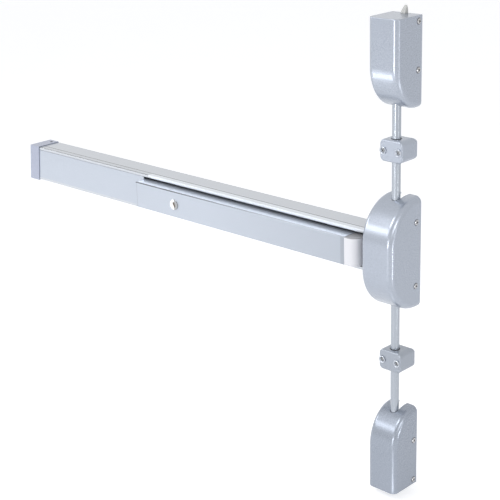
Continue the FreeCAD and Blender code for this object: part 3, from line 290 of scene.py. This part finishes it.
def bar_painted_light_and_shade():
    """Painted shade along the bar's top edge, painted light on its top, a painted shade line at each end,
    and painted shade that deepens to the right.
    """
    front = (bar_low.y - SKIN, bar_low.y + SKIN)
    edge_depth = 0.0030
    edge_shade_fade = (bar_low.x + 0.42, bar_low.x + 0.10)
    left_shade_line = 0.0009
    right_shade_band = 0.008
    shade_start = bar_low.x + 0.20
    return [
        mark(0.25, fade=edge_shade_fade, Z=bar_top, Y=(bar_low.y - SKIN, bar_low.y + edge_depth)),
        mark(1.60, Z=bar_top, Y=(bar_low.y + edge_depth, rail_low.y), X=(bar_low.x, bar_high.x)),
        mark(0.70, X=(bar_low.x, bar_low.x + left_shade_line), Y=front),
        mark(0.84, X=(bar_high.x - right_shade_band, bar_high.x), Y=front),
        mark(0.85, fade=(shade_start, bar_high.x), Y=front),
    ]


def nose_painted_shade():
    """Painted shade on the top of the bar's nose."""
    return [mark(0.45, Z=bar_top)]


def lock_painted_shade():
    """Painted shade on the right side of the lock's face."""
    start = lock_middle + 0.0012
    end = lock_middle + 0.03
    face_depth = 0.002
    return [mark(0.42, X=(start, end), Y=(lock_low.y - SKIN, lock_low.y + face_depth))]


# The finish of each material slot

CASE_METALLIC = 0.6
CASE_ROUGHNESS = 0.27
finishes = {
    "case_paint": paint("case_paint", (0.405, 0.44, 0.505), CASE_METALLIC, CASE_ROUGHNESS),
    "end_cap_paint": paint("end_cap_paint", (0.41, 0.44, 0.54), 0.5, 0.34),
    "rail_aluminium": drawn_aluminium("rail_aluminium", (0.585, 0.61, 0.645), rail_painted_shade_and_highlight()),
    "bar_aluminium": drawn_aluminium("bar_aluminium", (0.515, 0.555, 0.62), bar_painted_light_and_shade()),
    "bar_ends": paint("bar_ends", (0.82, 0.82, 0.85), 0.0, 0.35, 0.02, nose_painted_shade()),
    "rod_finish": brushed("rod_finish", (0.40, 0.43, 0.475), 0.75, 0.24, ALONG_Z, 0.05, 0.000002),
    "screw_chrome": brushed("screw_chrome", (0.52, 0.52, 0.53), 1.0, 0.16, EVEN, 0.03),
    # Near-black, also used for the rings and crosses of painted shade round and in the screw heads
    "dark_screws": brushed("dark_screws", (0.05, 0.05, 0.06), 0.9, 0.35, EVEN, 0.1),
    "lock_chrome": brushed("lock_chrome", (0.86, 0.87, 0.88), 1.0, 0.14, EVEN, 0.02, marks=lock_painted_shade()),
    "lock_nickel": brushed("lock_nickel", (0.80, 0.79, 0.77), 0.9, 0.22, EVEN, 0.04, marks=lock_painted_shade()),
    "bolt_steel": brushed("bolt_steel", (0.50, 0.50, 0.48), 0.2, 0.42, ALONG_Z),
    "black_nylon": plastic("black_nylon", (0.06, 0.06, 0.07), 0.55),
    "spring_steel": brushed("spring_steel", (0.36, 0.36, 0.38), 1.0, 0.28, EVEN),
    "zinc_plate": brushed("zinc_plate", (0.52, 0.54, 0.57), 0.8, 0.34, COARSE, 0.10),
    "machined_steel": brushed("machined_steel", (0.42, 0.43, 0.45), 0.9, 0.32, EVEN, 0.08),
}
for entry in frame["record"]["subparts"]:
    for place in nodes[entry["node"]].material_slots:
        place.material = finishes[entry["material_slot"]]

# Darker copies of the case paint for the lower pieces, which the photo shows a little darker: painted
# shade, for light that falls off towards the bottom
shaded_low_paints = {
    "bottom_latch_cover": (0.315, 0.347, 0.405),
    "lower_guide": (0.35, 0.38, 0.43),
}
for node, colour in shaded_low_paints.items():
    for place in nodes[node].material_slots:
        place.material = paint("case_paint_shaded_" + node, colour, CASE_METALLIC, CASE_ROUGHNESS)


# Helpers for small turned and square pieces

STEPS = 48               # points round a turned piece
SHARP = math.radians(32)         # edges of small pieces that are bent further than this stay sharp


def as_mesh(shape, name):
    """The mesh of a shape, which is freed."""
    data = bpy.data.meshes.new(name)
    shape.to_mesh(data)
    shape.free()
    return data


def as_object(data, name):
    """An object of the scene with the given data."""
    made = bpy.data.objects.new(name, data)
    scene.collection.objects.link(made)
    return made


def circle(shape, radius, height):
    """Vertices round the Z axis."""
    turns = [2 * math.pi * k / STEPS for k in range(STEPS)]
    return [shape.verts.new((radius * math.cos(turn), radius * math.sin(turn), height)) for turn in turns]


def block(shape, size, centre, turn=0.0):
    """Adds a box to a shape, turned about Z after it is placed."""
    made = bmesh.ops.create_cube(shape, size=1.0)["verts"]
    bmesh.ops.scale(shape, vec=size, verts=made)
    bmesh.ops.translate(shape, vec=centre, verts=made)
    bmesh.ops.rotate(shape, cent=(0, 0, 0), matrix=Matrix.Rotation(turn, 3, "Z"), verts=made)


def revolved(profile):
    """A closed turned shape, from points (radius, height) that start and end on the Z axis."""
    shape = bmesh.new()
    rings = [circle(shape, radius, height) for radius, height in profile[1:-1]]
    top = shape.verts.new((0, 0, profile[0][1]))
    bottom = shape.verts.new((0, 0, profile[-1][1]))
    for k in range(STEPS):
        after = (k + 1) % STEPS
        shape.faces.new((top, rings[0][k], rings[0][after]))
        for upper, lower in zip(rings, rings[1:]):
            shape.faces.new((upper[k], lower[k], lower[after], upper[after]))
        shape.faces.new((bottom, rings[-1][after], rings[-1][k]))
    return shape


def ring(inner, outer, height, bulge=0.0):
    """A flat or bulging ring that stands on z = 0, as a mesh."""
    sunk = -0.0002
    middle = (inner + outer) / 2
    section = [(inner, sunk), (inner, height), (middle, height + bulge), (outer, height), (outer, sunk)]
    shape = bmesh.new()
    rings = [circle(shape, radius, level) for radius, level in section]
    for one, other in zip(rings, rings[1:] + rings[:1]):
        for k in range(STEPS):
            after = (k + 1) % STEPS
            shape.faces.new((one[k], other[k], other[after], one[after]))
    bmesh.ops.recalc_face_normals(shape, faces=shape.faces)
    return as_mesh(shape, "ring")


def cross_recess_shade(reach, width, low, high):
    """A dark cross of painted shade for the floor of a cross recess, from z = low to high, as a mesh."""
    shape = bmesh.new()
    thick = high - low
    middle = (low + high) / 2
    arm = reach - width / 2
    block(shape, (2 * reach, width, thick), (0, 0, middle))
    for way in (-1, 1):
        block(shape, (width, arm, thick), (0, way * (width + arm) / 2, middle))
    return as_mesh(shape, "cross_recess_shade")


def cross_screw(head, shank, length, recess_width, recess_reach, recess_depth, dome, rim):
    """One screw whose seat is z = 0 and whose head stands up, with a cross cut into it, as a mesh."""
    profile = [(0, dome)]
    for share in (0.25, 0.5, 0.7, 0.85, 0.95):
        profile.append((head * share, rim + (dome - rim) * math.sqrt(1 - share ** 2)))
    edge = rim * 0.6
    profile += [(head, edge), (head, 0), (shank, 0), (shank, -length), (0, -length)]
    body = as_object(as_mesh(revolved(profile), "screw_body"), "screw_body")
    arm_size = (2 * recess_reach, recess_width, 2 * recess_depth)
    for turn in (0, math.pi / 2):
        cutter_shape = bmesh.new()
        block(cutter_shape, arm_size, (0, 0, dome), turn)
        cutter = as_object(as_mesh(cutter_shape, "screw_cutter"), "screw_cutter")
        change = body.modifiers.new("recess", "BOOLEAN")
        change.operation = "DIFFERENCE"
        change.solver = "EXACT"
        change.object = cutter
        evaluated = body.evaluated_get(bpy.context.evaluated_depsgraph_get())
        result = bpy.data.meshes.new_from_object(evaluated)
        body.modifiers.clear()
        body.data = result
        bpy.data.objects.remove(cutter)
    mesh = body.data
    bpy.data.objects.remove(body)
    return mesh


def placed(item, places, name, slot, node=None, finish=None):
    """One fixed piece with a copy of the item at each place: (centre, direction of its top, turn)."""
    shape = bmesh.new()
    for centre, outward, turn in places:
        copy = item.copy()
        stand = Vector(outward).to_track_quat("Z", "Y").to_matrix().to_4x4()
        copy.transform(Matrix.Translation(centre) @ stand @ Matrix.Rotation(turn, 4, "Z"))
        shape.from_mesh(copy)
    piece = as_object(as_mesh(shape, name), name)
    piece.data.polygons.foreach_set("use_smooth", [True] * len(piece.data.polygons))
    piece.data.set_sharp_from_angle(angle=SHARP)
    piece.data.materials.append(finish or finishes[slot])
    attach(piece, "frame")
    if node:
        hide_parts(node)


# Where the plain screws stand, whose shells come in one node

ACROSS = 0               # the number of the X axis, which runs across the door
UPWARD = 2               # the number of the Z axis
SCREW_GAP = 0.02         # the screws of a row stand further apart than this
SCREW_TURN = math.radians(33)    # how much further each screw of a row is turned than the one below


def groups(places, axis, gap):
    """Places split into groups that lie more than a gap apart on one axis."""
    places = sorted(places, key=lambda place: place[axis])
    found = [[places[0]]]
    for before, place in zip(places, places[1:]):
        if place[axis] - before[axis] > gap:
            found.append([])
        found[-1].append(place)
    return found


def centre_of(places):
    """The middle of the box round some places."""
    spans = [[place[axis] for place in places] for axis in range(3)]
    return Vector([(min(span) + max(span)) / 2 for span in spans])


def screw_rows(node, row_gap):
    """The centres of a node's screws, as upright rows that lie more than a gap apart."""
    corners = [vertex.co for vertex in nodes[node].data.vertices]
    for row in groups(corners, ACROSS, row_gap):
        yield [centre_of(screw) for screw in groups(row, UPWARD, SCREW_GAP)]


# Screws with a cross recess in the covers' sides, in place of the plain ones

case_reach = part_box("center_cover")[1].z + 0.045     # screws further up or down are the latch cases'
cover_places = []
for row in screw_rows("cover_screws", row_gap=0.02):
    outward = 1 if row[0].x > 0 else -1
    for k, centre in enumerate(row):
        cover = "center_cover" if abs(centre.z) < case_reach else "top_latch_cover"
        seat = Vector((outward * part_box(cover)[1].x, centre.y, centre.z))
        cover_places.append((seat, (outward, 0, 0), k * SCREW_TURN))

cover_screw = cross_screw(head=0.0050, shank=0.0019, length=0.0060, recess_width=0.0016,
                          recess_reach=0.0031, recess_depth=0.0013, dome=0.0019, rim=0.0006)
# Dark rings of painted shade round the heads, and dark crosses of painted shade in their recesses
cover_shade_ring = ring(inner=0.0050, outer=0.0058, height=0.00012)
cover_recess_shade = cross_recess_shade(reach=0.0030, width=0.0015, low=0.0007, high=0.0014)
placed(cover_screw, cover_places, "cover_cross_screws", "screw_chrome", "cover_screws")
placed(cover_shade_ring, cover_places, "cover_screw_shade_rings", "dark_screws")
placed(cover_recess_shade, cover_places, "cover_screw_recess_shades", "dark_screws")


# Sunk screws with raised rims in the rod guides, in place of the plain ones

screw_sink = 0.0013      # how deep a guide's screws sit in its bosses
first_turn = 0.4         # of the lowest screw in a row, in radians
guide_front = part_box("upper_guide")[0].y
guide_places = []
rim_places = []
for row in screw_rows("guide_screws", row_gap=0.01):
    for k, centre in enumerate(row):
        turn = first_turn + k * SCREW_TURN + centre.x
        rim = Vector((centre.x, guide_front, centre.z))
        seat = Vector((centre.x, guide_front + screw_sink, centre.z))
        guide_places.append((seat, (0, -1, 0), turn))
        rim_places.append((rim, (0, -1, 0), turn))

guide_screw = cross_screw(head=0.0033, shank=0.0018, length=0.0380, recess_width=0.0013,
                          recess_reach=0.0024, recess_depth=0.0012, dome=0.0010, rim=0.0003)
# Dark rings of painted shade in the sunk seats round the heads, and dark crosses of painted shade in their
# recesses
guide_shade_ring = ring(inner=0.0034, outer=0.0046, height=0.00005)
guide_recess_shade = cross_recess_shade(reach=0.0023, width=0.0012, low=0.0001, high=0.0006)
guide_rim = ring(inner=0.0047, outer=0.0068, height=0.0003, bulge=0.0009)
screw_finish = brushed("guide_screw_finish", (0.38, 0.39, 0.40), 1.0, 0.22, EVEN, 0.03)
# The rims get a lighter finish than the guide's paint: a painted highlight
rim_highlight_finish = brushed("rim_highlight_finish", (0.55, 0.58, 0.63), 0.6, 0.32, EVEN, 0.03)
placed(guide_screw, guide_places, "guide_cross_screws", "screw_chrome", "guide_screws", screw_finish)
placed(guide_shade_ring, guide_places, "guide_screw_shade_rings", "dark_screws")
placed(guide_recess_shade, guide_places, "guide_screw_recess_shades", "dark_screws")
placed(guide_rim, rim_places, "guide_boss_rims", "rod_finish", finish=rim_highlight_finish)


# The key's slot in the lock's face, a dark block of painted shade for the keyway's hollow

slot_size = (0.0026, 0.0012, 0.0105)
slot_place = Vector((lock_middle + 0.0016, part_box("lock_plug")[0].y + 0.0003, 0.0004))
slot_lean = Matrix.Rotation(math.radians(-18), 4, "Y")
slot_shape = bmesh.new()
block(slot_shape, slot_size, (0, 0, 0))
key_slot = as_object(as_mesh(slot_shape, "key_slot"), "key_slot")
key_slot.data.transform(Matrix.Translation(slot_place) @ slot_lean)
key_slot.data.materials.append(paint("key_slot_shade", (0.10, 0.065, 0.035), 0.0, 0.5))
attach(key_slot, "lock_plug")


# The bar's nose, drawn out to the narrow gap beside the centre case that the photo shows

stretch = 0.0034
nose_low, nose_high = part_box("push_bar_nose")
stretch_from = nose_low.x + 0.023
nose_piece = as_object(nodes["push_bar_nose"].data.copy(), "bar_nose_cover")
for vertex in nose_piece.data.vertices:
    if vertex.co.x > stretch_from:
        vertex.co.x += stretch * (vertex.co.x - stretch_from) / (nose_high.x - stretch_from)
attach(nose_piece, "push_bar")
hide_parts("push_bar_nose")


# World and floor. Cameras and mirrors see both as white, and the floor keeps its shadow.

def seen_directly(tree):
    """1 for rays from the camera, from reflections and through glass."""
    rays = tree.nodes.new("ShaderNodeLightPath")
    value = rays.outputs["Is Camera Ray"]
    for name in ("Is Glossy Ray", "Is Transmission Ray"):
        either = tree.nodes.new("ShaderNodeMath")
        either.operation = "MAXIMUM"
        tree.links.new(value, either.inputs[0])
        tree.links.new(rays.outputs[name], either.inputs[1])
        value = either.outputs[0]
    return value


def background(node, colour, strength):
    """The output of a background node, given its colour and strength."""
    node.inputs["Color"].default_value = (*colour, 1)
    node.inputs["Strength"].default_value = strength
    return node.outputs[0]


world = bpy.data.worlds.new("studio")
scene.world = world
world.use_nodes = True
tree = world.node_tree
sky = background(tree.nodes["Background"], (0.94, 0.96, 1.0), 0.52)
white = background(tree.nodes.new("ShaderNodeBackground"), (1, 1, 1), 1.0)
mix = tree.nodes.new("ShaderNodeMixShader")
tree.links.new(seen_directly(tree), mix.inputs[0])
tree.links.new(sky, mix.inputs[1])
tree.links.new(white, mix.inputs[2])
tree.links.new(mix.outputs[0], tree.nodes["World Output"].inputs["Surface"])

floor_gap = 0.002        # between the floor and the lowest piece
floor_size = 14
floor_level = cad_box[0].z - floor_gap
bpy.ops.mesh.primitive_plane_add(size=floor_size, location=(0, 0, floor_level))
floor = bpy.context.object
floor.name = "floor"
look = Shader("floor_white")
tone = look.shades(look.noise(FLOOR_CLOUDS, 2), (0.79, 0.79, 0.79), (0.81, 0.81, 0.81))
look.drive("Base Color", tone)
look.drive("Emission Strength", look.calculated("MULTIPLY", seen_directly(look.tree), 0.55))
look.fix("Emission Color", (1, 1, 1, 1))
look.fix("Roughness", 0.9)
floor.data.materials.append(look.material)


# Lamps

def lamp(name, place, target, size, power, colour=(1, 1, 1), spread=180):
    """A rectangular lamp: place, target, width and height in metres, power in watts, spread in degrees."""
    data = bpy.data.lights.new(name, "AREA")
    data.shape = "RECTANGLE"
    data.size = size[0]
    data.size_y = size[1]
    data.energy = power
    data.color = colour
    data.spread = math.radians(spread)
    made = as_object(data, name)
    made.location = place
    aim = Vector(target) - Vector(place)
    made.rotation_euler = aim.to_track_quat("-Z", "Y").to_euler()
    made.visible_camera = False


COOL = (0.97, 0.98, 1.0)
lamp("key", (-0.7, -1.5, 1.7), (-0.1, 0, 0.1), (0.8, 0.8), 13, COOL)
lamp("band", (-1.62, -2.25, 1.0), (0, -0.05, 0), (1.4, 0.6), 8.5, COOL)
lamp("side", (2.6, -1.2, 1.6), (0, 0, 0.1), (1.0, 1.0), 13)
lamp("left", (-2.8, -1.2, 0.9), (-0.4, 0, 0), (1.0, 1.0), 14, COOL)
lamp("right_front", (1.9, -1.6, 1.0), (0, 0, 0), (0.8, 0.8), 4)
lamp("front_strip", (0.113, -2.6, -0.18), (0.03, -0.09, 0.40), (0.14, 0.50), 8)
lamp("side_strip", (2.0, -0.03, 0.06), (0.03, -0.05, 0.38), (0.12, 0.5), 1.2)
lamp("case_edge", (1.15, -0.17, -0.36), (0.03, -0.05, -0.02), (0.10, 0.20), 0.85)
lamp("low_edge", (0.086, -0.20, -0.474), (0.0825, -0.1917, -0.27), (0.03, 0.23), 0.05)
lamp("latch_band", (-0.70, -0.885, -0.145), (0, -0.07, 0.385), (0.14, 0.22), 0.009, COOL, 20)


# Camera, fitted to the photo: angles in radians, place in metres, lens and sensor in millimetres

yaw, pitch, roll = 0.7731, 0.3421, -0.0333
camera_place = Vector((1.32606, -1.75915, 0.78501))
ahead = Vector((-math.sin(yaw) * math.cos(pitch), math.cos(yaw) * math.cos(pitch), -math.sin(pitch)))
level = Vector((math.cos(yaw), math.sin(yaw), 0))
upright = level.cross(ahead)
right = level * math.cos(roll) + upright * math.sin(roll)
up = upright * math.cos(roll) - level * math.sin(roll)
stand = Matrix((right, up, -ahead)).transposed().to_4x4()
stand.translation = camera_place
camera_data = bpy.data.cameras.new("camera")
camera_data.sensor_width = 36
camera_data.lens = 92.68
camera_data.clip_start = 0.05
camera_data.clip_end = 60
camera = as_object(camera_data, "camera")
camera.matrix_world = stand
scene.camera = camera
scene.view_settings.view_transform = "Standard"
